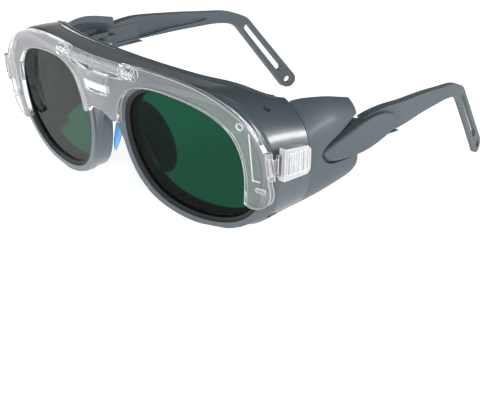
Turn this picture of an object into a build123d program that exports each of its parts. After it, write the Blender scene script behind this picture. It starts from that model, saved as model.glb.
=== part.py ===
"""Welding goggles with a clear flip-up lens carrier and folding temples.

Millimetres. +X is the wearer's left, the lenses face -Y, +Z is up. The
goggles stand on their lower rims and on the tips of both temples at z = 0.
The origin is at the centre of that footprint. Heights in the tables below
are measured from the eye line, and depths from the line of lens centres.
"""
import math
import os

from build123d import *

# ---- driving dimensions -------------------------------------------------
EYE_Z = 28.6            # height of the lens centres
DEPTH_MID = 68.2        # from the eye line back to the middle of the footprint
LENS_X = 41.6           # lens centre from the middle plane
WRAP = 12.1             # each lens turns back by this angle
TILT = 11.0             # each lens leans, top forward
FRAME_ROUND = 1.8       # how far the frame's bridge is rounded off behind the lens planes
CARRIER_ROUND = 0.9

WALL = 2.2              # shell wall of frame and side shields
FRONT_WALL = 3.0
EDGE_ROUND = 3.0        # rounding between front face and side walls
RIM = 2.4               # rim outside the lens opening
RIM_PROUD = 0.5
RIM_DEPTH = 8.0
SEAT_DEPTH = 5.6        # from the lens plane back to the lens seat
SEAT_LIP = 2.4
BAND = 1.7              # width of the rubber band between rim and lens
BAND_FRONT = -0.3       # the band's bead stands a little in front of the lens
BAND_LIP = 1.2
LENS_FRONT = -1.2
LENS_THICK = 2.4
LIP_R = 1.3             # bead along the rear edge of the brow
LIP_SINK = 2.4          # how far the bead's ends sink into the shoulders
LIP_FADE = (44, 61)     # distances from the middle plane over which they sink

SEAM_Y = 25.3           # joint between front frame and side shield
SEAM_GAP = 0.25
TONGUE = 4.5            # shield tongue inside the frame
TONGUE_THICK = 1.3
SHIELD_END = 52.2

CARRIER_BACK = 0.95     # clear carrier, measured out from the lens planes
CARRIER_THICK = 2.0
HINGE_Y = -13.4         # carrier hinge axis, along X
HINGE_Z = 30.4
RING_R = 2.7
RING_IN = 17.0
RING_OUT = 21.4
BARREL_R = 2.4
BARREL_HALF = 14.6
AXLE_R = 0.8
PIN_PLAY = 0.05
HOOK_HALF = 5.2

LATCH_X = 77.15         # inner face of the side latches
LATCH_AXIS_X = 77.0
LATCH_AXIS_Y = 4.1
LATCH_MID = 5.6
LATCH_PIN_R = 0.5
LATCH_KNUCKLE_R = 1.25
GRIP_THICK = 3.0

FOLD_X = 70.4           # temple fold axis, along Z
FOLD_Y = 50.0
FOLD_PIN_R = 1.0
KNUCKLE = (2.3, 11.2)   # height of the temple's knuckle between the lugs
LUG = 2.0
LEAF_IN = 75.0
LEAF_OUT = 79.2
LEAF_END = 70.4
LEAF_CLEAR = 1.2
ARM_IN = 73.2           # inner and outer face of the arm's straight part
ARM_OUT = 77.0
ARM_START = 54.0
ARM_SLIDE_GAP = 0.3
TIP_X = 56.5            # cord hole at the end of the temple
TIP_Y = 148.7
TIP_Z = -25.0
TIP_R = 3.6
CORD_HOLE_R = 1.6
BEND = (127.2, 3.0)       # where the temple turns down behind the ear
BEND_HALF = 3.1
EAR_SLOT = (26.5, 2.8)    # length between its end centres, and width
SLOT_MIDDLE = (135.9, -8.2)
BIG = 120.0             # reach of cutting bodies

FRONT = Plane((0, 0, EYE_Z), x_dir=(1, 0, 0), z_dir=(0, -1, 0))
SIDE = Plane((0, 0, EYE_Z), x_dir=(0, 1, 0), z_dir=(1, 0, 0))
TOP = Plane((0, 0, EYE_Z), x_dir=(1, 0, 0), z_dir=(0, 0, 1))


# ---- helpers ------------------------------------------------------------
def mirrored(part):
    return mirror(part, about=Plane.YZ)


def block(x, y, z):
    """Box from three (low, high) pairs, heights from the eye line."""
    size = [high - low for low, high in (x, y, z)]
    centre = ((x[0] + x[1]) / 2, (y[0] + y[1]) / 2, EYE_Z + (z[0] + z[1]) / 2)
    return Pos(*centre) * Box(*size)


def rod(start, end, radius):
    """Round bar between two points, heights from the eye line."""
    start = Vector(*start) + Vector(0, 0, EYE_Z)
    end = Vector(*end) + Vector(0, 0, EYE_Z)
    plane = Plane(start, z_dir=end - start)
    return extrude(plane * Circle(radius), (end - start).length)


def through(plane, face, low, high):
    """Extrude a sketch of one of the three main planes between two depths."""
    return extrude(plane.offset(low) * face, high - low)


def lens_plane(forward=0.0):
    """Sketch plane of the left lens: x outward, y up, normal forward."""
    wrap, tilt = math.radians(WRAP), math.radians(TILT)
    normal = Vector(math.sin(wrap) * math.cos(tilt), -math.cos(wrap) * math.cos(tilt), -math.sin(tilt))
    outward = Vector(math.cos(wrap), math.sin(wrap), 0)
    return Plane(Vector(LENS_X, 0, EYE_Z) + normal * forward, x_dir=outward, z_dir=normal)


# ---- outlines -----------------------------------------------------------
OPENING = [(31.0, 0), (27.8, 14.6), (17.5, 24.2), (0, 26.8), (-17, 26.2), (-28.6, 19.4), (-31.8, 8.5),
           (-29.4, -6.5), (-21.2, -19.4), (-8, -25.6), (5, -26.4), (18.2, -22.6), (27.8, -13)]

# depth, half width, top, bottom, top and bottom corner radius of the outer skin
SECTIONS = [(-26, 75.4, 29.6, -28.76, 27, 28), (-11, 75.4, 29.6, -28.76, 27, 28),
            (4, 75.8, 29.6, -28.76, 27, 27), (14, 76.4, 28.4, -23.8, 26, 21),
            (25, 76.8, 25.6, -19.4, 23, 15.5), (40, 76.7, 23.6, -15.6, 18, 12), (58, 76.2, 20.6, -11.0, 13, 9)]

# the same for the side shields, whose top stands a little higher
SHIELD_SECTIONS = [(22, 76.8, 24.9, -20.4, 22.8, 16.5), (26, 76.8, 25.9, -19.1, 22.6, 15.2),
                   (34, 76.8, 27.1, -17.0, 22, 13.3), (42, 76.6, 27.1, -15.0, 22, 12),
                   (58, 76.2, 23.5, -11.0, 20, 9)]
SHIELD_INNER = [(64.2, 22), (65.6, 29), (67.0, 34), (68.2, 42), (68.8, 60)]

BROW_EDGE = [(0, 4), (28, 5.4), (48, 9.6), (57.5, 14.5), (62, 24), (63, 44)]
LIP_LINE = [(0, 4), (28, 5.4), (40, 7.2), (48, 9.6), (54, 12.3), (58.5, 16), (61, 20.5)]
NOTCH = [(0, 9.8), (4.5, 7.4), (7.6, 1), (9.4, -5), (12.5, -12.5), (17.5, -19.5), (24, -24.8), (33, -28),
         (41, -29.4)]

CARRIER_TOP = [(0, 33.5), (19.6, 33.4), (37.3, 32.3), (54.2, 28.7), (62.3, 25.0), (70, 19.2), (75.3, 11.0)]
CARRIER_TAB = [(75.9, 11.0), (75.9, -2.8), (76.1, -6), (74.4, -10.6), (70.6, -13.4), (66.2, -14.2), (63.7, -12.8)]
CARRIER_LOW = [(63.7, -12.8), (65.2, -3), (65, 6), (61.6, 14.6), (53, 20.9), (40, 24.4), (27.2, 25.6),
               (18, 23.6), (12.4, 18), (10.5, 12), (10.2, 8.2)]
CARRIER_NOSE = [(10.2, 8.2), (8.4, 7.9), (5, 10), (0, 11.4)]

# marks and pins on the left front of the carrier, across and up from the lens centre
RING_MARK = (23.6, 20.3)
STEP_MARK = ((27.5, -1.3), (30.6, 18.2))
MARK_WIDTH = 0.25
MARK_DEPTH = 0.3
PIN_PLACE = (31.0, -4.6)
PIN_SIZE = (4.6, 1.9)
PIN_PROUD = 0.9

SHIELD_TRIM = [(44, 30), (49.6, 25.6), (52.9, 21), (54.1, 17), (SHIELD_END, 12)]
SHIELD_BELLY = [(SHIELD_END, -4), (50.9, -8), (46, -11.6), (38, -14.2), (28, -17), (18, -22)]

LEAF_TOP = [(LEAF_END, 11.6), (67.5, 13), (60, 13.9), (51.7, 12.4), (40.7, 8.2), (35.4, 5.9), (32.9, 3.4),
            (34.6, 1.1), (41, -0.3), (52, 0.2), (63.3, 2.9), (LEAF_END, 5.6)]

ARM_UPPER = [(ARM_START, 13.4), (60, 14.5), (68, 15.1), (79, 14.6), (96, 13.3), (110, 11.8), (120.5, 10.2),
             (125.6, 8.2)]
ARM_LOWER = [(121.8, 3.9), (117, 5.6), (104, 6.2), (92, 5.9), (78, 5.1), (66, 4.1), (ARM_START, 3.5)]
ARM_PLAN = [(75.1, 54), (75.1, 71), (73.8, 81), (70.2, 98), (65, 122.5), (60.8, 136), (55.0, 153)]
ARM_THICK = [3.8, 3.8, 3.7, 3.4, 2.8, 2.3, 2.1]

PAD_CENTRE = (10.4, 7.6, -1.6)
PAD_DOWN = (0.4, 0.22, -0.89)       # the long axis splays outward and back towards the cheek
PAD_ACROSS = (0.41, 0.71, 0.57)
PAD_LONG = 15.2
PAD_SHORT = 6.7
PAD_THICK = 2.6
VENTS = [((66, 12.6, 23.6), (0.62, 0.05, 0.78), 1.6), ((69.5, 12.6, -17.0), (0.62, 0.05, -0.78), 1.4)]
SHIELD_SCREWS = ((3.0, 73.0), (-5.0, 72.7))     # height, and where the head seats


def lens_outline(grow):
    """Closed outline of the lens opening, grown or shrunk radially."""
    points = []
    for u, v in OPENING:
        scale = 1 + grow / math.hypot(u, v)
        points.append((u * scale, v * scale))
    return make_face(Spline(points, periodic=True))


def lens_prism(grow, back, front):
    """Prism of the lens outline between two depths of the lens plane."""
    return extrude(lens_plane(back) * lens_outline(grow), front - back)


def lean_vector():
    """Upward direction that lies in both lens planes."""
    lean = math.atan(math.tan(math.radians(TILT)) / math.cos(math.radians(WRAP)))
    return Vector(0, -math.sin(lean), math.cos(lean))


def front_body(forward, rounding=FRAME_ROUND):
    """Everything behind both lens planes moved forward, with a rounded bridge."""
    slope = math.tan(math.radians(WRAP))
    shift = forward / (math.cos(math.radians(WRAP)) * math.cos(math.radians(TILT)))
    apex = -LENS_X * slope - shift
    half = 14.0
    nose = ThreePointArc((-half, apex + half * slope), (0, apex + rounding), (half, apex + half * slope))
    outline = Polyline((half, apex + half * slope), (BIG, apex + BIG * slope), (BIG, BIG), (-BIG, BIG),
                       (-BIG, apex + BIG * slope), (-half, apex + half * slope))
    face = make_face(Curve() + [nose, outline])
    foot = Pos(*(Vector(0, 0, EYE_Z) - lean_vector() * BIG / 2))
    return extrude(foot * face, BIG, dir=lean_vector())


def front_sheet(back, front, rounding):
    """Bent sheet that follows the lens planes between two offsets."""
    return front_body(front, rounding) - front_body(back, rounding)


def skin(inset, sections=SECTIONS):
    """Solid inside the outer skin of frame or shields, less an inset."""
    faces = []
    for y, half, top, bottom, r_top, r_bottom in sections:
        half, top, bottom = half - inset, top - inset, bottom + inset
        face = make_face(Polyline((-half, bottom), (half, bottom), (half, top), (-half, top), close=True))
        face = fillet([v for v in face.vertices() if v.Y < 0], r_bottom - inset)
        face = fillet([v for v in face.vertices() if v.Y > top - 0.01], r_top - inset)
        faces.append(FRONT.offset(-y) * face)
    return loft(faces)


def front_height(point):
    """Depth of a point behind the sharp front surface."""
    slope = math.tan(math.radians(WRAP))
    lean = math.tan(math.radians(TILT)) / math.cos(math.radians(WRAP))
    return point.Y - (abs(point.X) - LENS_X) * slope + (point.Z - EYE_Z) * lean


def rounded_block():
    """Outer skin cut by the front surface, with that edge rounded over."""
    whole = skin(0) & front_body(0)
    edges = []
    for edge in whole.edges():
        near = all(-0.1 < front_height(edge @ t) < FRAME_ROUND + 0.4 for t in (0, 0.25, 0.5, 0.75, 1))
        along = abs((edge @ 0).X - (edge @ 1).X) > 0.05
        if near and along:
            edges.append(edge)
    return fillet(edges, EDGE_ROUND)


def face_space():
    """Space of the face: behind the brow curve and between the side walls."""
    left = Spline(BROW_EDGE, tangents=[(1, 0), (0, 1)])
    right = mirror(left, about=Plane.YZ)
    x = BROW_EDGE[-1][0]
    back = Polyline(BROW_EDGE[-1], (x, BIG), (-x, BIG), (-x, BROW_EDGE[-1][1]))
    return through(TOP, make_face(Curve() + [left, back, right]), -BIG / 2, BIG / 2)


def frame_shell(solid_block):
    """Side walls, brow, floor and front wall of the frame."""
    return solid_block - (skin(WALL) & front_body(-FRONT_WALL)) - face_space()


def shield_shell():
    """Wall of the left shield, open on the wearer's side."""
    back = SHIELD_INNER[-1]
    rest = Polyline(back, (0, back[1]), (0, SHIELD_INNER[0][1]), SHIELD_INNER[0])
    inner = through(TOP, make_face(Curve() + [Spline(SHIELD_INNER), rest]), -BIG / 2, BIG / 2)
    wall = skin(0, SHIELD_SECTIONS) - skin(WALL, SHIELD_SECTIONS) - inner
    return wall & block((50, BIG), (SEAM_Y + SEAM_GAP, BIG), (-BIG, BIG))


def nose_notch():
    left = Spline(NOTCH, tangents=[(1, 0), (1, -0.1)])
    right = mirror(left, about=Plane.YZ)
    x, z = NOTCH[-1]
    base = Polyline((x, z), (x, z - 20), (-x, z - 20), (-x, z))
    return through(FRONT, make_face(Curve() + [left, base, right]), -BIG, BIG)


def slice_y(low, high):
    return block((-BIG, BIG), (low, high), (-BIG, BIG))


# ---- front frame and its fixed parts ---------------------------------------
def vent_cut():
    cuts = []
    for point, direction, radius in VENTS:
        centre, axis = Vector(*point), Vector(*direction).normalized()
        cuts.append(rod(centre - axis * 6, centre + axis * 6, radius))
        cuts.append(rod(centre + axis * 0.1, centre + axis * 6, radius + 0.7))
    return cuts


def brow_height(x):
    """Height of the roof over the eye line at a distance from the middle plane."""
    _, half, top, _, radius, _ = SECTIONS[3]
    past = max(0, x - (half - radius))
    return top + 1.2 - radius + math.sqrt(radius ** 2 - past ** 2)


def brow_lip():
    """Rounded bead along the rear edge of the brow, down to the shoulders."""
    points = []
    first, last = LIP_FADE
    for x, y in LIP_LINE:
        sink = LIP_SINK * max(0, (x - first) / (last - first)) ** 2
        points.append((x, y + 0.2, brow_height(x) - LIP_R + 0.6 - sink))
    mirror_points = [(-x, y, z) for x, y, z in reversed(points[1:])]
    path = Pos(0, 0, EYE_Z) * Spline(mirror_points + points)
    start = Plane(path @ 0, z_dir=path % 0)
    return sweep(start * Circle(LIP_R), path=path)


def front_frame(block_solid):
    frame = frame_shell(block_solid) - nose_notch()
    frame &= slice_y(-BIG, SEAM_Y)
    rim = lens_prism(RIM, -RIM_DEPTH, RIM_PROUD) & (skin(0) & front_body(RIM_PROUD))
    opening = lens_prism(0, -SEAT_DEPTH, 5) + lens_prism(-SEAT_LIP, -20, 5)
    frame = frame + rim + mirrored(rim) + brow_lip()
    frame = frame - opening - mirrored(opening)
    frame -= rod((-23, HINGE_Y, HINGE_Z), (23, HINGE_Y, HINGE_Z), RING_R + 0.4)
    for cut in vent_cut():
        frame = frame - cut - mirrored(cut)
    for cut in screw_holes(0.85, 70, 75.6):
        frame = frame - cut - mirrored(cut)
    return frame


def lens_gasket():
    """Rubber band with a lip behind the lens."""
    band = lens_prism(0, -SEAT_DEPTH, BAND_FRONT)
    band -= lens_prism(-BAND, LENS_FRONT - LENS_THICK, 5)
    return band - lens_prism(-BAND - BAND_LIP, -20, 5)


def lens():
    return lens_prism(-BAND, LENS_FRONT - LENS_THICK, LENS_FRONT)


def screw_holes(radius, low, high):
    return [rod((low, SEAM_Y - 2.2, z), (high, SEAM_Y - 2.2, z), radius) for z, _ in SHIELD_SCREWS]


def shield_screw_set():
    """Four small screws that hold the shields' tongues, from inside."""
    screws = []
    for z, seat in SHIELD_SCREWS:
        y = SEAM_Y - 2.2
        screw = rod((seat, y, z), (75.5, y, z), 0.8) + rod((seat - 1, y, z), (seat, y, z), 1.6)
        screw -= block((seat - 1.1, seat - 0.5), (y - 0.2, y + 0.2), (z - 1.2, z + 1.2))
        screws.append(screw)
    return Compound(children=screws + [mirrored(s) for s in screws])


def vent_baffles(frame, gasket):
    """Light traps behind the four vent holes."""
    caps = []
    for point, direction, _ in VENTS:
        centre, axis = Vector(*point), Vector(*direction).normalized()
        outer = rod(centre - axis * 5.4, centre, 3.6)
        outer -= rod(centre - axis * 4.5, centre, 2.8)
        outer -= Pos(*(centre - axis * 3.6 + Vector(0, 0, EYE_Z))) * Box(1.6, 12, 1.6)
        cap = (outer & skin(WALL + 0.05)) - frame - gasket
        caps.append(max(cap.solids(), key=lambda solid: solid.volume))
    return Compound(children=caps + [mirrored(c) for c in caps])


# ---- side shield -----------------------------------------------------------
def leaf_face():
    """Side view of the leaf-shaped temple cover."""
    return make_face(Curve() + [Spline(LEAF_TOP), Line(LEAF_TOP[-1], LEAF_TOP[0])])


def leaf_slot():
    """Room for the leaf in the shield: its outline grown, and open to the rear."""
    points = []
    for before, here, after in zip(LEAF_TOP, LEAF_TOP[1:], LEAF_TOP[2:]):
        run, rise = after[0] - before[0], after[1] - before[1]
        scale = LEAF_CLEAR / math.hypot(run, rise)
        points.append((here[0] + rise * scale, here[1] - run * scale))
    face = make_face(Curve() + [Spline(points), Line(points[-1], points[0])])
    return through(SIDE, face, 60, BIG)


def shield_trim():
    """Side view of everything in front of the shield's free edge."""
    edge = Line(SHIELD_TRIM[-1], SHIELD_BELLY[0])
    rest = Polyline(SHIELD_BELLY[-1], (0, -40), (0, 50), (46, 50), SHIELD_TRIM[0])
    face = make_face(Curve() + [Spline(SHIELD_TRIM), edge, Spline(SHIELD_BELLY), rest])
    return through(SIDE, face, 0, BIG)


def side_shield():
    wall = (shield_shell() & shield_trim()) - leaf_slot()
    inner = skin(WALL + 0.1 + TONGUE_THICK)
    root = skin(WALL - 0.2) - inner - face_space()
    root &= block((66, BIG), (SEAM_Y + SEAM_GAP + 0.5, SEAM_Y + 3), (-13, 5))
    tongue = skin(WALL + 0.1) - inner - face_space()
    tongue &= block((66, BIG), (SEAM_Y - TONGUE, SEAM_Y + 1), (-13, 5))
    tongue = root + tongue
    for cut in screw_holes(1.05, 70, 76):
        tongue -= cut
    return wall + tongue


def fold_line(low, high, radius):
    return rod((FOLD_X, FOLD_Y, low), (FOLD_X, FOLD_Y, high), radius)


def hinge_bracket():
    """Floor behind the leaf and two lugs that carry the fold pin."""
    low, high = KNUCKLE[0] - ARM_SLIDE_GAP, KNUCKLE[1] + ARM_SLIDE_GAP
    bracket = block((71.4, 78), (31, 46.4), (-4, 15))
    for bottom, top in ((low - LUG, low), (high, high + LUG)):
        bracket += block((FOLD_X - 2, FOLD_X + 1.9), (44, FOLD_Y), (bottom, top)) + fold_line(bottom, top, 2.0)
    bracket += block((FOLD_X - 2, 74), (42, 45.5), (low - LUG, high + LUG))
    return (bracket & skin(WALL, SHIELD_SECTIONS)) - fold_line(-9, 30, FOLD_PIN_R)


def fold_pin():
    low, high = KNUCKLE[0] - ARM_SLIDE_GAP - LUG, KNUCKLE[1] + ARM_SLIDE_GAP + LUG
    return fold_line(low, high, FOLD_PIN_R) + fold_line(low - 0.8, low, 1.8)


# ---- temple ------------------------------------------------------------------
def temple_cover():
    """Leaf-shaped outer cover that lies in the shield's slot."""
    leaf = through(SIDE, leaf_face(), LEAF_IN, LEAF_OUT)
    crown = make_face(Curve() + [ThreePointArc((77.3, 32), (LEAF_OUT - 0.1, 51), (78.3, 72)),
                                 Polyline((78.3, 72), (60, 72), (60, 32), (77.3, 32))])
    leaf &= through(TOP, crown, -40, 40)
    outer = [e for e in leaf.edges() if e.center().X > 77.0 and e.length > 10]
    leaf = fillet(outer, 1.2)
    leaf -= block((60, ARM_OUT + ARM_SLIDE_GAP), (ARM_START - ARM_SLIDE_GAP, BIG), (-40, 40))
    return leaf - cover_screw()


def hinge_block():
    """Inner half of the temple root: knuckle, web to the cover and guide bar."""
    plate = block((FOLD_X - 1.5, 72.6), (FOLD_Y, 56), KNUCKLE)
    plate += fold_line(*KNUCKLE, 1.9)
    web = block((FOLD_X + 1.5, LEAF_IN), (50.9, ARM_START - ARM_SLIDE_GAP), KNUCKLE)
    guide = block((ARM_IN + 0.2, 74.5), (53.2, 72), (5.9, 12.6))
    knuckle = plate + web + guide
    knuckle -= fold_line(-9, 30, FOLD_PIN_R + PIN_PLAY)
    return knuckle - cover_screw()


def cover_screw():
    y, z = 52.35, 7.0
    return rod((70.1, y, z), (77.2, y, z), 0.8) + rod((FOLD_X - 1.5, y, z), (70.1, y, z), 0.95)


def arm_band(shift, thick):
    """Plan view of the arm: a curved band around its centre line."""
    inner = [(x + shift - t * thick / 2, y) for (x, y), t in zip(ARM_PLAN, ARM_THICK)]
    outer = [(x + shift + t * thick / 2, y) for (x, y), t in zip(ARM_PLAN, ARM_THICK)]
    sides = []
    for line in (inner, outer):
        sides.append([Line(line[0], line[1]), Spline(line[1:], tangents=[(0, 1), (-0.34, 1)])])
    ends = [Line(inner[0], outer[0]), Line(inner[-1], outer[-1])]
    return make_face(Curve() + sides[0] + sides[1] + ends)


def arm_side_view():
    """Side view of the arm, with the bend behind the ear and the round tip."""
    bend = Vector(*BEND)
    tip = Vector(TIP_Y, TIP_Z)
    along = (tip - bend).normalized()
    across = Vector(-along.Y, along.X)
    outer_a, outer_b = bend + across * BEND_HALF, tip + across * TIP_R
    inner_a, inner_b = bend - across * BEND_HALF, tip - across * TIP_R
    upper = Spline(ARM_UPPER + [(outer_a.X, outer_a.Y)], tangents=[(1, 0.3), (along.X, along.Y)])
    lower = Spline([(inner_a.X, inner_a.Y)] + ARM_LOWER, tangents=[(-along.X, -along.Y), (-1, 0)])
    end = ThreePointArc((outer_b.X, outer_b.Y), tuple(tip + along * TIP_R)[:2], (inner_b.X, inner_b.Y))
    lines = [upper, Line((outer_a.X, outer_a.Y), (outer_b.X, outer_b.Y)), end,
             Line((inner_b.X, inner_b.Y), (inner_a.X, inner_a.Y)), lower, Line(ARM_LOWER[-1], ARM_UPPER[0])]
    return make_face(Curve() + lines)


def temple_arm():
    arm = through(SIDE, arm_side_view(), 40, 90) & through(TOP, arm_band(0, 1), -60, 60)
    taper = Spline([(74.5, 12.9), (88, 11.7), (104, 9.8), (107.5, 9.1), (104, 8.4), (88, 7.4), (74.5, 5.6)],
                   tangents=[(1, 0), (-1, -0.05)])
    channel = make_face(taper + Polyline((74.5, 5.6), (50, 5.6), (50, 12.9), (74.5, 12.9)))
    arm -= through(SIDE, channel, 40, 90) & through(TOP, arm_band(-2.2, 1), -60, 60)
    angle = math.degrees(math.atan2(TIP_Z - BEND[1], TIP_Y - BEND[0]))
    slot = Pos(*SLOT_MIDDLE) * Rot(0, 0, angle) * SlotCenterToCenter(*EAR_SLOT)
    arm -= through(SIDE, slot, 40, 90)
    across = 0.34 * 9
    return arm - rod((TIP_X - 9, TIP_Y - across, TIP_Z), (TIP_X + 9, TIP_Y + across, TIP_Z), CORD_HOLE_R)


# ---- clear carrier, its hinge and latches -------------------------------------
def carrier_outline():
    top = Spline(CARRIER_TOP, tangents=[(1, 0), (0.5, -1)])
    tab = Polyline(CARRIER_TOP[-1], *CARRIER_TAB[:2])
    corner = Spline(CARRIER_TAB[1:])
    low = Spline(CARRIER_LOW)
    nose = Spline(CARRIER_NOSE)
    half = [top, tab, corner, low, nose]
    return make_face(Curve() + half + [mirror(c, about=Plane.YZ) for c in half])


def latch_line(low, high, radius):
    """Round bar on the left latch axis, between two heights from its middle."""
    centre = Vector(LATCH_AXIS_X, LATCH_AXIS_Y, LATCH_MID)
    rise = lean_vector()
    return rod(centre + rise * low, centre + rise * high, radius)


def lens_carrier():
    sheet = front_sheet(CARRIER_BACK, CARRIER_BACK + CARRIER_THICK, CARRIER_ROUND)
    carrier = sheet & through(FRONT, carrier_outline(), -BIG, BIG)
    for side in (1, -1):
        ring = rod((side * RING_IN, HINGE_Y, HINGE_Z), (side * RING_OUT, HINGE_Y, HINGE_Z), RING_R)
        neck = rod((side * (BARREL_HALF + 0.4), HINGE_Y, HINGE_Z), (side * RING_IN, HINGE_Y, HINGE_Z), 1.9)
        carrier = carrier + ring + neck
    carrier -= block((-BARREL_HALF - 0.4, BARREL_HALF + 0.4), (-BIG, 0), (27.0, 50))
    carrier -= block((-HOOK_HALF - 0.8, HOOK_HALF + 0.8), (-BIG, 0), (18.3, 22.6))
    carrier -= rod((-RING_OUT, HINGE_Y, HINGE_Z), (RING_OUT, HINGE_Y, HINGE_Z), AXLE_R + PIN_PLAY)
    room = latch_line(-3.6, 3.6, LATCH_KNUCKLE_R + 0.35)
    room += block((75.6, 79), (LATCH_AXIS_Y - 1.2, 16), (1, 10))
    carrier = carrier - room - mirrored(room)
    for low, high in ((-5.6, -3.6), (3.6, 5.6)):
        knuckle = latch_line(low, high, LATCH_KNUCKLE_R)
        carrier = carrier + knuckle + mirrored(knuckle)
    bore = latch_line(-9, 9, LATCH_PIN_R)
    for cut in [bore] + carrier_marks():
        carrier = carrier - cut - mirrored(cut)
    return carrier


def carrier_marks():
    """Shallow moulded marks on the left front: a ring and the step round the tab."""
    plane = lens_plane(CARRIER_BACK + CARRIER_THICK)
    ring = Pos(*RING_MARK) * (Circle(1.5) - Circle(1.15))
    (left, low), (right, high) = STEP_MARK
    upright = Pos(left, (low + high) / 2) * Rectangle(MARK_WIDTH, high - low)
    foot = Pos((left + right) / 2, low) * Rectangle(right - left + MARK_WIDTH, MARK_WIDTH)
    return [extrude(plane * face, -MARK_DEPTH) for face in (ring, upright + foot)]


def hinge_base():
    """Clear bracket on the bridge: barrel, front flap, tongue and hook."""
    side = 2 * BARREL_R - 0.4
    bar = Pos(0, HINGE_Y, HINGE_Z + EYE_Z) * Box(2 * BARREL_HALF, side, side)
    barrel = fillet(bar.edges().filter_by(Axis.X), 0.9)
    flap = block((-12.3, 12.3), (-15.1, -13.6), (28.3, 30.4))
    tongue = front_sheet(0, 0.9, FRAME_ROUND) & block((-HOOK_HALF, HOOK_HALF), (-30, 0), (19, 29.5))
    hook = block((-HOOK_HALF, HOOK_HALF), (-14.0, -11.4), (19.2, 21.6))
    base = barrel + flap + tongue + (hook & front_body(2.8, FRAME_ROUND))
    base -= front_body(0)
    return base - rod((-40, HINGE_Y, HINGE_Z), (40, HINGE_Y, HINGE_Z), AXLE_R)


def hinge_axle():
    end = RING_OUT - 0.3
    return rod((-end, HINGE_Y, HINGE_Z), (end, HINGE_Y, HINGE_Z), AXLE_R)


def latch_pin():
    return latch_line(-5.6, 5.6, LATCH_PIN_R)


def latch_arm():
    """Strip that reaches back from the carrier's tab along the frame."""
    strip = block((LATCH_X, LATCH_X + 1.3), (LATCH_AXIS_Y + 2.7, 15), (1.2, 9.8))
    strip += block((LATCH_X, LATCH_X + 1.1), (LATCH_AXIS_Y, 8), (2.7, 8.4))
    arm = strip + latch_line(-3.3, 3.3, LATCH_KNUCKLE_R)
    return arm - latch_line(-9, 9, LATCH_PIN_R + PIN_PLAY)


def latch_grip():
    """Ribbed finger grip on the end of the latch arm."""
    face = make_face(Polyline((8.4, -0.4), (8.4, 12.2), (20.4, 11.0), (22, 9.4), (22, 1.2), (20.4, 0), close=True))
    grip = through(SIDE, face, LATCH_X, LATCH_X + GRIP_THICK)
    pocket = block((LATCH_X + 2.2, 90), (10, 20.6), (2.0, 9.6))
    grip -= pocket
    for step in range(4):
        y = 11.0 + 2.5 * step
        grip += block((LATCH_X + 2.0, LATCH_X + GRIP_THICK + 0.3), (y, y + 1.1), (1.5, 10.0))
    return grip - latch_arm()


def carrier_pins():
    """Oblong locating pins on the carrier's lower tabs."""
    plane = lens_plane(CARRIER_BACK + CARRIER_THICK)
    pin = extrude(plane * Pos(*PIN_PLACE) * SlotOverall(*PIN_SIZE), PIN_PROUD)
    return Compound(children=[pin, mirrored(pin)])


# ---- nose pads -----------------------------------------------------------------
def pad_plane(side_shift=0.0):
    """Plane of the left nose pad: y down its long axis, z outward."""
    down = Vector(*PAD_DOWN).normalized()
    across = Vector(*PAD_ACROSS)
    along = (across - down * across.dot(down)).normalized()
    out = down.cross(along)
    centre = Vector(*PAD_CENTRE) + Vector(0, 0, EYE_Z) + out * side_shift
    return Plane(centre, x_dir=along, z_dir=out)


def nose_pad():
    face = Ellipse(PAD_SHORT, PAD_LONG)
    pad = extrude(pad_plane(-PAD_THICK / 2) * face, PAD_THICK)
    return fillet(pad.edges(), PAD_THICK * 0.42)


def pad_arm(frame, pad):
    """Short stalk between the rim's nose side and the pad."""
    foot = (9.3, 0.2, 4.2)
    head = (PAD_CENTRE[0] + 1.1, PAD_CENTRE[1] - 0.8, PAD_CENTRE[2] + 1.2)
    stalk = rod(foot, head, 1.2)
    stalk = stalk - frame - pad
    return max(stalk.solids(), key=lambda s: s.volume)


# ---- output ----------------------------------------------------------------------
def save(name, part):
    export_step(Pos(0, -DEPTH_MID, 0) * part, f"parts/{name}.step")


def save_pair(name, part):
    save("left_" + name, part)
    save("right_" + name, mirrored(part))


def main():
    os.makedirs("parts", exist_ok=True)
    block_solid = rounded_block()
    frame = front_frame(block_solid)
    save("front_frame", frame)
    save_pair("side_shield", side_shield())
    save_pair("lens", lens())
    gasket = lens_gasket()
    save_pair("lens_gasket", gasket)
    save("shield_screws", shield_screw_set())
    save("vent_baffles", vent_baffles(frame, gasket))
    pad = nose_pad()
    save_pair("nose_pad", pad)
    save_pair("pad_stalk", pad_arm(frame, pad))
    save("hinge_base", hinge_base())
    save("hinge_axle", hinge_axle())
    save("lens_carrier", lens_carrier())
    save("carrier_pins", carrier_pins())
    save_pair("latch_arm", latch_arm())
    save_pair("latch_grip", latch_grip())
    save_pair("latch_pin", latch_pin())
    save_pair("hinge_bracket", hinge_bracket())
    save_pair("fold_pin", fold_pin())
    save_pair("temple_cover", temple_cover())
    save_pair("temple_knuckle", hinge_block())
    save_pair("cover_screw", cover_screw())
    save_pair("temple_arm", temple_arm())


main()
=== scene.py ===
"""Welding goggles: finishes, small detail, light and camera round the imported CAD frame."""
import math

import bmesh
import bpy
from mathutils import Matrix, Vector

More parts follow.
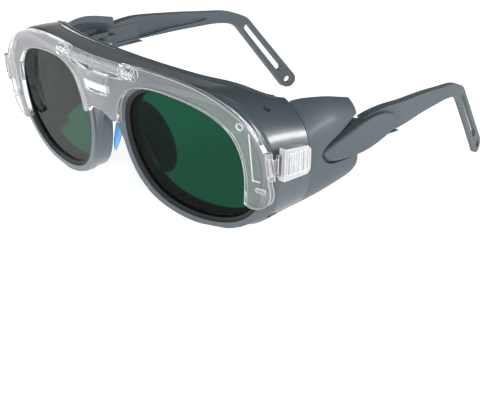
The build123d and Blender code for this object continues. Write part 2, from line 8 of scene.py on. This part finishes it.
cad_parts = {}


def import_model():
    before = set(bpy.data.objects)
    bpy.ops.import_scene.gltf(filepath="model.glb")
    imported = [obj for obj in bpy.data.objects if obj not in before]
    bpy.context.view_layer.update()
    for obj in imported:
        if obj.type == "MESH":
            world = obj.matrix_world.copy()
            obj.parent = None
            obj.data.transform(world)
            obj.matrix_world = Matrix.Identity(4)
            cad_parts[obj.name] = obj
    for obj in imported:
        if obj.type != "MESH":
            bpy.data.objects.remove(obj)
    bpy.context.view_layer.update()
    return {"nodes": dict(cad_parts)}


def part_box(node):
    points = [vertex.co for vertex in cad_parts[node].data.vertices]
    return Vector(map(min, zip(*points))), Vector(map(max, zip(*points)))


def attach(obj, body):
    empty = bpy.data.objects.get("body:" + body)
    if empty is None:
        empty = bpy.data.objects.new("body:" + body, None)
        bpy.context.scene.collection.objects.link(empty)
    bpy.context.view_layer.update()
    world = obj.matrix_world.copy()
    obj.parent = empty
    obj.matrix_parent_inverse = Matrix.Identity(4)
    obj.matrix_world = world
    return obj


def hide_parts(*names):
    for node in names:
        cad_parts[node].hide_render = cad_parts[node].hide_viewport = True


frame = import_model()
SIDES = (("left", 1), ("right", -1))

# Sizes in metres.
PAD_SHORT, PAD_LONG, PAD_HALF_THICK = 0.0067, 0.0152, 0.0013    # half axes of the nose pad's oval
PAD_DOWN, PAD_ACROSS = (0.40, 0.22, -0.89), (0.41, 0.71, 0.57)  # its axes on the left side
PAD_RINGS, PAD_TURNS = 24, 96
PAD_RIBS, PAD_RIB_HEIGHT = 14, 0.00012
PAD_RIB_REACH = 0.85       # share of the oval that the ribs cover
HOOK_FROST_HEIGHT = 0.0026  # frosted lower end of the hinge base's hook
EDGE_RADIUS, CLEAR_EDGE_RADIUS = 0.0004, 0.0005
GRAIN_DEPTH, RUB_DEPTH = 0.00004, 0.0001

CLEAR_IOR = 1.4
FILTER_IOR = 1.18          # low, so that the white floor isn't mirrored in the dark lens
COAT_ROUGHNESS = 0.12

FLOOR_SIZE, FLOOR_GLOW = 12.0, 0.64
CAMERA_PLACE = (0.5481, -0.5449, 0.2898)
CAMERA_ANGLES = (45.2, 22.0, 1.7)   # azimuth, elevation and roll in degrees
CAMERA_SENSOR, CAMERA_LENS = 36.0, 145.7


# ---- node helpers -------------------------------------------------------------
def new_material(name):
    material = bpy.data.materials.new(name)
    material.use_nodes = True
    tree = material.node_tree
    return material, tree, tree.nodes["Principled BSDF"]


def add(tree, kind, **settings):
    node = tree.nodes.new(kind)
    for key, value in settings.items():
        if key in node.inputs:
            node.inputs[key].default_value = value
        else:
            setattr(node, key, value)
    return node


def ramp(tree, source, stops):
    """Colour ramp fed by a socket; stops are (position, colour or grey)."""
    node = tree.nodes.new("ShaderNodeValToRGB")
    tree.links.new(source, node.inputs[0])
    elements = node.color_ramp.elements
    while len(elements) < len(stops):
        elements.new(0.5)
    for element, (position, colour) in zip(elements, stops):
        if not isinstance(colour, tuple):
            colour = (colour, colour, colour)
        element.position = position
        element.color = (*colour, 1)
    return node.outputs[0]


def noise(tree, scale, detail=4.0, rough=0.5):
    coords = tree.nodes.new("ShaderNodeTexCoord")
    node = add(tree, "ShaderNodeTexNoise", Scale=scale, Detail=detail, Roughness=rough)
    tree.links.new(coords.outputs["Object"], node.inputs["Vector"])
    return node.outputs[0]


def bump(tree, shader, height, strength, distance):
    node = add(tree, "ShaderNodeBump", Strength=strength, Distance=distance)
    tree.links.new(height, node.inputs["Height"])
    tree.links.new(node.outputs[0], shader.inputs["Normal"])


def edge_mask(tree, radius, low, high):
    """Factor that rises from 0 to 1 near edges, where the rounded normal leaves the flat one."""
    rounded = add(tree, "ShaderNodeBevel", Radius=radius)
    rounded.samples = 4
    flat = tree.nodes.new("ShaderNodeNewGeometry")
    dot = tree.nodes.new("ShaderNodeVectorMath")
    dot.operation = "DOT_PRODUCT"
    tree.links.new(rounded.outputs[0], dot.inputs[0])
    tree.links.new(flat.outputs["Normal"], dot.inputs[1])
    return ramp(tree, dot.outputs["Value"], [(low, 1.0), (high, 0.0)])


def mix_colour(tree, factor, first, second):
    node = tree.nodes.new("ShaderNodeMix")
    node.data_type = "RGBA"
    tree.links.new(factor, node.inputs["Factor"])
    for socket, value in ((node.inputs[6], first), (node.inputs[7], second)):
        if isinstance(value, tuple):
            socket.default_value = (*value, 1)
        else:
            tree.links.new(value, socket)
    return node.outputs[2]


def moulded_plastic(name, base, lighter, roughness, grain=2600.0, strength=0.12, coat=0.0):
    """Injection-moulded plastic: fine grain, soft mottling and paler edges, partly wear and partly a
    painted highlight.
    """
    material, tree, shader = new_material(name)
    mottled = ramp(tree, noise(tree, 45.0, 3.0), [(0.1, base), (0.9, lighter)])
    # Paler edges: a painted highlight where the rounded edges would catch light, together with some
    # wear.
    edge_highlight_and_wear = tuple(min(1.0, c * 1.5 + 0.02) for c in lighter)
    colour = mix_colour(tree, edge_mask(tree, EDGE_RADIUS, 0.75, 0.97), mottled, edge_highlight_and_wear)
    tree.links.new(colour, shader.inputs["Base Color"])
    span = ramp(tree, noise(tree, 60.0, 2.0), [(0.1, roughness - 0.03), (0.9, roughness + 0.03)])
    tree.links.new(span, shader.inputs["Roughness"])
    shader.inputs["Coat Weight"].default_value = coat
    shader.inputs["Coat Roughness"].default_value = COAT_ROUGHNESS
    bump(tree, shader, noise(tree, grain, 2.0, 0.6), strength, GRAIN_DEPTH)
    return material


def clear_plastic(name, tint, roughness, haze, painted_edge_light, white_below=None):
    """Polycarbonate: faintly smoked, whiter where light gathers along its edges, with fine rub marks.

    Below the height white_below it is frosted, as the hook that fills the carrier's window is.
    """
    material, tree, shader = new_material(name)
    edges = edge_mask(tree, CLEAR_EDGE_RADIUS, 0.8, 0.985)
    # Edges turn less clear and whiter: a painted highlight for the light that gathers along them.
    clear = ramp(tree, edges, [(0.0, 1.0 - haze), (1.0, 1.0 - painted_edge_light)])
    if white_below:
        coords = tree.nodes.new("ShaderNodeTexCoord")
        split = tree.nodes.new("ShaderNodeSeparateXYZ")
        tree.links.new(coords.outputs["Object"], split.inputs[0])
        above = add(tree, "ShaderNodeMath", operation="GREATER_THAN")
        tree.links.new(split.outputs["Z"], above.inputs[0])
        above.inputs[1].default_value = white_below
        both = add(tree, "ShaderNodeMath", operation="MULTIPLY")
        tree.links.new(clear, both.inputs[0])
        tree.links.new(above.outputs[0], both.inputs[1])
        clear = both.outputs[0]
    tree.links.new(clear, shader.inputs["Transmission Weight"])
    shader.inputs["IOR"].default_value = CLEAR_IOR
    cloud = ramp(tree, noise(tree, 60.0, 2.0), [(0.3, tint), (0.8, tuple(c * 0.94 for c in tint))])
    tree.links.new(cloud, shader.inputs["Base Color"])
    rub = ramp(tree, noise(tree, 80.0, 2.0), [(0.2, roughness), (0.8, roughness + 0.04)])
    tree.links.new(rub, shader.inputs["Roughness"])
    bump(tree, shader, noise(tree, 60.0, 1.0), 0.1, RUB_DEPTH)
    return material


def filter_glass():
    """Green welding filter: dark tint, hard polished face."""
    material, tree, shader = new_material("filter_glass")
    shader.inputs["Transmission Weight"].default_value = 1.0
    shader.inputs["IOR"].default_value = FILTER_IOR
    greens = [(0.3, (0.003, 0.070, 0.034)), (0.8, (0.004, 0.080, 0.040))]
    tint = ramp(tree, noise(tree, 12.0, 1.0), greens)
    tree.links.new(tint, shader.inputs["Base Color"])
    polish = ramp(tree, noise(tree, 60.0, 2.0), [(0.2, 0.0), (0.8, 0.006)])
    tree.links.new(polish, shader.inputs["Roughness"])
    return material


def rubber(name, base, lighter, roughness, sheen=0.0):
    """Matt rubber or silicone with a fine grain."""
    material, tree, shader = new_material(name)
    tone = ramp(tree, noise(tree, 80.0, 3.0), [(0.35, base), (0.75, lighter)])
    tree.links.new(tone, shader.inputs["Base Color"])
    span = ramp(tree, noise(tree, 500.0, 4.0), [(0.3, roughness - 0.06), (0.8, roughness + 0.06)])
    tree.links.new(span, shader.inputs["Roughness"])
    shader.inputs["Sheen Weight"].default_value = sheen
    bump(tree, shader, noise(tree, 1800.0, 3.0), 0.2, GRAIN_DEPTH)
    return material


def turned_steel(name):
    """Bare steel of axles, pins and screws."""
    material, tree, shader = new_material(name)
    shader.inputs["Metallic"].default_value = 1.0
    tone = ramp(tree, noise(tree, 250.0, 4.0), [(0.3, (0.42, 0.43, 0.45)), (0.8, (0.62, 0.63, 0.65))])
    tree.links.new(tone, shader.inputs["Base Color"])
    span = ramp(tree, noise(tree, 900.0, 6.0, 0.7), [(0.3, 0.2), (0.8, 0.42)])
    tree.links.new(span, shader.inputs["Roughness"])
    return material


HOOK_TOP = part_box("hinge_base")[0][2] + HOOK_FROST_HEIGHT
SLATE_TONES = (0.052, 0.070, 0.082), (0.062, 0.082, 0.095)
SLATE = moulded_plastic("slate_plastic", *SLATE_TONES, 0.32, coat=0.45)
SLATE_SATIN = moulded_plastic("slate_satin", *SLATE_TONES, 0.5, coat=0.06)
BLACK = moulded_plastic("black_plastic", (0.012, 0.013, 0.015), (0.02, 0.021, 0.023), 0.5)
CLEAR = clear_plastic("clear_plastic", (0.93, 0.94, 0.97), 0.01, 0.07, 0.9)
HINGE_CLEAR = clear_plastic("hinge_plastic", (0.95, 0.96, 0.98), 0.02, 0.22, 0.95, white_below=HOOK_TOP)
FROSTED = clear_plastic("frosted_plastic", (0.95, 0.96, 0.98), 0.12, 0.4, 0.9)
LENS = filter_glass()
GASKET = rubber("gasket_rubber", (0.004, 0.005, 0.006), (0.009, 0.010, 0.012), 0.62)
BLUE = rubber("blue_silicone", (0.012, 0.26, 0.66), (0.02, 0.33, 0.78), 0.38, sheen=0.2)
STEEL = turned_steel("turned_steel")

FINISH = {
    "front_frame": SLATE, "side_shield": SLATE_SATIN, "temple_cover": SLATE_SATIN,
    "temple_arm": SLATE_SATIN, "temple_knuckle": SLATE_SATIN, "hinge_bracket": SLATE_SATIN,
    "pad_stalk": SLATE_SATIN, "lens": LENS, "lens_gasket": GASKET, "nose_pad": BLUE,
    "vent_baffles": BLACK, "hinge_base": HINGE_CLEAR, "lens_carrier": CLEAR, "carrier_pins": CLEAR,
    "latch_arm": CLEAR, "latch_grip": FROSTED, "hinge_axle": STEEL, "latch_pin": STEEL,
    "fold_pin": STEEL, "cover_screw": STEEL, "shield_screws": STEEL,
}


def finish_for(node):
    """Finish of a node; left and right pieces share the name behind their side."""
    return FINISH.get(node, FINISH.get(node.split("_", 1)[1]))


for node_name, piece in frame["nodes"].items():
    piece.data.materials.clear()
    piece.data.materials.append(finish_for(node_name))


# ---- nose pads -----------------------------------------------------------------
def dished_pad(side, sign):
    """Silicone nose pad: an oval, thickest in the middle, with fine grip ribs on one face."""
    down = Vector((sign * PAD_DOWN[0], *PAD_DOWN[1:])).normalized()
    across = Vector((sign * PAD_ACROSS[0], *PAD_ACROSS[1:]))
    along = (across - down * across.dot(down)).normalized()
    out = down.cross(along) * sign
    lowest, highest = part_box(side + "_nose_pad")
    centre = (Vector(lowest) + Vector(highest)) / 2
    mesh = bmesh.new()
    for face_side in (1, -1):
        shells = []
        for ring in range(PAD_RINGS + 1):
            reach = math.sin(ring / PAD_RINGS * math.pi / 2)
            crown = PAD_HALF_THICK * (1 - reach ** 3) ** 0.5
            shells.append([pad_point(centre, along, down, out, reach, turn, crown, face_side)
                           for turn in range(PAD_TURNS)])
        rings = [[mesh.verts.new(point) for point in shell] for shell in shells[1:]]
        tip = mesh.verts.new(shells[0][0])
        for here, following in zip(range(PAD_TURNS), [*range(1, PAD_TURNS), 0]):
            mesh.faces.new((tip, rings[0][here], rings[0][following]))
            for inner, outer in zip(rings, rings[1:]):
                mesh.faces.new((inner[here], outer[here], outer[following], inner[following]))
    bmesh.ops.remove_doubles(mesh, verts=mesh.verts, dist=1e-6)
    bmesh.ops.recalc_face_normals(mesh, faces=mesh.faces)
    return finished_piece(mesh, side + "_nose_pad_silicone", BLUE)


def pad_point(centre, along, down, out, reach, turn, crown, face_side):
    """Point of the pad's surface; the ribs fade out towards the rim."""
    angle = 2 * math.pi * turn / PAD_TURNS
    across, length = math.cos(angle) * reach, math.sin(angle) * reach
    height = crown * face_side
    if face_side < 0:
        ribs = math.cos(length * PAD_RIBS * math.pi)
        height += PAD_RIB_HEIGHT * (1 + ribs) * max(0.0, 1 - (reach / PAD_RIB_REACH) ** 4)
    return centre + along * across * PAD_SHORT + down * length * PAD_LONG + out * height


def finished_piece(mesh, name, material):
    data = bpy.data.meshes.new(name)
    mesh.to_mesh(data)
    mesh.free()
    for polygon in data.polygons:
        polygon.use_smooth = True
    data.materials.append(material)
    piece = bpy.data.objects.new(name, data)
    bpy.context.collection.objects.link(piece)
    return piece


for side_name, side_sign in SIDES:
    pad = dished_pad(side_name, side_sign)
    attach(pad, "frame")
    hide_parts(side_name + "_nose_pad")


# ---- floor, light and camera -----------------------------------------------------
def floor():
    """White paper that glows a little, so that shadows stay faint."""
    bpy.ops.mesh.primitive_plane_add(size=FLOOR_SIZE, location=(0, 0, 0))
    plane = bpy.context.object
    plane.name = "floor"
    material, tree, shader = new_material("floor_paper")
    tone = ramp(tree, noise(tree, 3.0, 2.0), [(0.3, (0.90, 0.90, 0.90)), (0.8, (0.93, 0.93, 0.93))])
    tree.links.new(tone, shader.inputs["Base Color"])
    shader.inputs["Roughness"].default_value = 0.8
    shader.inputs["Emission Color"].default_value = (1, 1, 1, 1)
    shader.inputs["Emission Strength"].default_value = FLOOR_GLOW
    plane.data.materials.append(material)


def area_light(name, place, target, size, energy):
    data = bpy.data.lights.new(name, "AREA")
    data.shape = "RECTANGLE"
    data.size, data.size_y = size
    data.energy = energy
    light = bpy.data.objects.new(name, data)
    bpy.context.collection.objects.link(light)
    light.location = place
    aim = Vector(target) - Vector(place)
    light.rotation_euler = aim.to_track_quat("-Z", "Y").to_euler()


def camera():
    azimuth, elevation, roll = (math.radians(angle) for angle in CAMERA_ANGLES)
    back = Vector((math.sin(azimuth) * math.cos(elevation),
                   -math.cos(azimuth) * math.cos(elevation), math.sin(elevation)))
    right = Vector((math.cos(azimuth), math.sin(azimuth), 0))
    up = back.cross(right)
    turned = right * math.cos(roll) + up * math.sin(roll)
    axes = Matrix((turned, back.cross(turned), back)).transposed()
    data = bpy.data.cameras.new("camera")
    data.sensor_width = CAMERA_SENSOR
    data.lens = CAMERA_LENS
    obj = bpy.data.objects.new("camera", data)
    bpy.context.collection.objects.link(obj)
    obj.matrix_world = Matrix.Translation(Vector(CAMERA_PLACE)) @ axes.to_4x4()
    bpy.context.scene.camera = obj


def world(zenith, horizon):
    """Studio surround: dark overhead, white towards the horizon."""
    studio = bpy.data.worlds.new("studio")
    bpy.context.scene.world = studio
    studio.use_nodes = True
    tree = studio.node_tree
    coords = tree.nodes.new("ShaderNodeTexCoord")
    split = tree.nodes.new("ShaderNodeSeparateXYZ")
    tree.links.new(coords.outputs["Generated"], split.inputs[0])
    shade = ramp(tree, split.outputs["Z"], [(0.1, horizon), (0.4, zenith)])
    tree.links.new(shade, tree.nodes["Background"].inputs[0])


floor()
area_light("key", (0.75, -0.75, 0.35), (0, -0.03, 0.03), (0.7, 0.35), 10)
area_light("side", (-0.9, -0.35, 0.4), (0, 0, 0.03), (0.6, 0.4), 6)
area_light("overhead", (0.0, 0.3, 1.3), (0, 0, 0), (0.25, 0.8), 0.6)
area_light("strip", (0.95, 0.75, 0.47), (0, 0, 0.03), (0.6, 0.16), 7)
world(0.05, 0.75)
camera()
bpy.context.scene.view_settings.view_transform = "Standard"
